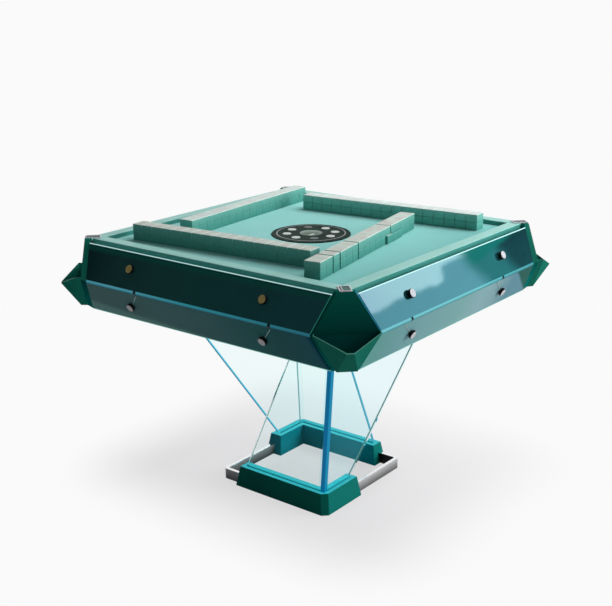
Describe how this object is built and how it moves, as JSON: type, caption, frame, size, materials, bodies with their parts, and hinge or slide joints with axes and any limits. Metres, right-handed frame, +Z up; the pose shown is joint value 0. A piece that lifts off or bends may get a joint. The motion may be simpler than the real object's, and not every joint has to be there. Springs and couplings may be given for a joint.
{
  "type": "mahjong table with drawers",
  "caption": "Square powered tile-game table with lit bevelled glass sides, drawers, corner pockets, a lifting centre console and crossed glass legs on an open ring base.",
  "frame": {"origin": "on the floor, under the centre of the table", "axes": "X and Y along the table's sides, +Z up; the narrow leg panes are on the -Y and +Y sides, the wide ones on the +X and -X sides"},
  "size_m": [1.0654, 1.0654, 0.8017],
  "materials": {
    "base_ring": "polished",
    "base_block_front": "gloss, dark teal, lit from inside",
    "leg_glass": "clear",
    "leg_bar": "blue tinted, lit",
    "dark_metal": "satin",
    "steel": "satin",
    "inlet": "matt",
    "board": "painted dark",
    "mat": "short pile",
    "rim": "satin gloss",
    "silver": "polished",
    "apron_glass": "dark, back-painted, glossy",
    "brass": "polished",
    "light": "translucent, lit",
    "black": "matt",
    "pocket": "satin gloss",
    "drawer": "satin",
    "drawer_glass": "smoked, glossy",
    "console": "gloss",
    "plate": "matt",
    "window": "clear",
    "white": "gloss",
    "button_dim": "gloss",
    "tile": "gloss, two-tone"
  },
  "bodies": {
    "table": {"base_ring": "base_ring", "base_block_front": "base_block_front", "base_block_back": "base_block_front", "leg_pane_front": "leg_glass", "leg_pane_right": "leg_glass", "leg_pane_back": "leg_glass", "leg_pane_left": "leg_glass", "leg_corner_bars": "leg_bar", "leg_sockets": "dark_metal", "floor_plate": "dark_metal", "power_inlet": "inlet", "body_frame": "dark_metal", "drawer_runners": "steel", "table_board": "board", "playing_mat": "mat", "rim_rails": "rim", "corner_plates": "silver", "apron_pane_front": "apron_glass", "apron_pane_right": "apron_glass", "apron_pane_back": "apron_glass", "apron_pane_left": "apron_glass", "apron_caps": "brass", "light_strips": "light", "belt_clips": "black", "pocket_front": "pocket", "pocket_right": "pocket", "pocket_back": "pocket", "pocket_left": "pocket", "lift_bridge": "steel", "drum_motor": "dark_metal", "tile_wall_front": "tile", "tile_wall_right": "tile", "tile_wall_back": "tile", "tile_wall_left": "tile"},
    "drawer_front": {"drawer_box_front": "drawer", "drawer_pane_front": "drawer_glass", "drawer_knobs_front": "silver"},
    "drawer_right": {"drawer_box_right": "drawer", "drawer_pane_right": "drawer_glass", "drawer_knobs_right": "silver"},
    "drawer_back": {"drawer_box_back": "drawer", "drawer_pane_back": "drawer_glass", "drawer_knobs_back": "silver"},
    "drawer_left": {"drawer_box_left": "drawer", "drawer_pane_left": "drawer_glass", "drawer_knobs_left": "silver"},
    "console": {"console_body": "console", "console_ring": "silver", "dice_window": "window"},
    "dice_turntable": {"dice_plate": "plate", "dice": "white"},
    "drum": {"mixing_drum": "steel"},
    "button_body_1": {"button_1": "white"},
    "button_body_2": {"button_2": "white"},
    "button_body_3": {"button_3": "white"},
    "button_body_4": {"button_4": "button_dim"},
    "button_body_5": {"button_5": "white"},
    "button_body_6": {"button_6": "white"},
    "button_body_7": {"button_7": "white"},
    "button_body_8": {"button_8": "button_dim"}
  },
  "joints": [
    {"name": "drawer_front_slide", "type": "slide", "parent": "table", "child": "drawer_front", "axis": [0, -1, 0], "range_m": [0, 0.14]},
    {"name": "drawer_right_slide", "type": "slide", "parent": "table", "child": "drawer_right", "axis": [1, 0, 0], "range_m": [0, 0.14]},
    {"name": "drawer_back_slide", "type": "slide", "parent": "table", "child": "drawer_back", "axis": [0, 1, 0], "range_m": [0, 0.14]},
    {"name": "drawer_left_slide", "type": "slide", "parent": "table", "child": "drawer_left", "axis": [-1, 0, 0], "range_m": [0, 0.14]},
    {"name": "console_lift", "type": "slide", "parent": "table", "child": "console", "axis": [0, 0, 1], "range_m": [0, 0.05]},
    {"name": "dice_spin", "type": "hinge", "parent": "console", "child": "dice_turntable", "pos_m": [0, 0, 0.744], "axis": [0, 0, 1], "continuous": true},
    {"name": "drum_spin", "type": "hinge", "parent": "table", "child": "drum", "pos_m": [0, 0, 0.6], "axis": [0, 0, 1], "continuous": true},
    {"name": "button_1_press", "type": "slide", "parent": "console", "child": "button_body_1", "axis": [0, 0, 1], "range_m": [-0.002, 0], "stiffness_N_per_m": 50, "springref_m": 0.003},
    {"name": "button_2_press", "type": "slide", "parent": "console", "child": "button_body_2", "axis": [0, 0, 1], "range_m": [-0.002, 0], "stiffness_N_per_m": 50, "springref_m": 0.003},
    {"name": "button_3_press", "type": "slide", "parent": "console", "child": "button_body_3", "axis": [0, 0, 1], "range_m": [-0.002, 0], "stiffness_N_per_m": 50, "springref_m": 0.003},
    {"name": "button_4_press", "type": "slide", "parent": "console", "child": "button_body_4", "axis": [0, 0, 1], "range_m": [-0.002, 0], "stiffness_N_per_m": 50, "springref_m": 0.003},
    {"name": "button_5_press", "type": "slide", "parent": "console", "child": "button_body_5", "axis": [0, 0, 1], "range_m": [-0.002, 0], "stiffness_N_per_m": 50, "springref_m": 0.003},
    {"name": "button_6_press", "type": "slide", "parent": "console", "child": "button_body_6", "axis": [0, 0, 1], "range_m": [-0.002, 0], "stiffness_N_per_m": 50, "springref_m": 0.003},
    {"name": "button_7_press", "type": "slide", "parent": "console", "child": "button_body_7", "axis": [0, 0, 1], "range_m": [-0.002, 0], "stiffness_N_per_m": 50, "springref_m": 0.003},
    {"name": "button_8_press", "type": "slide", "parent": "console", "child": "button_body_8", "axis": [0, 0, 1], "range_m": [-0.002, 0], "stiffness_N_per_m": 50, "springref_m": 0.003}
  ]
}
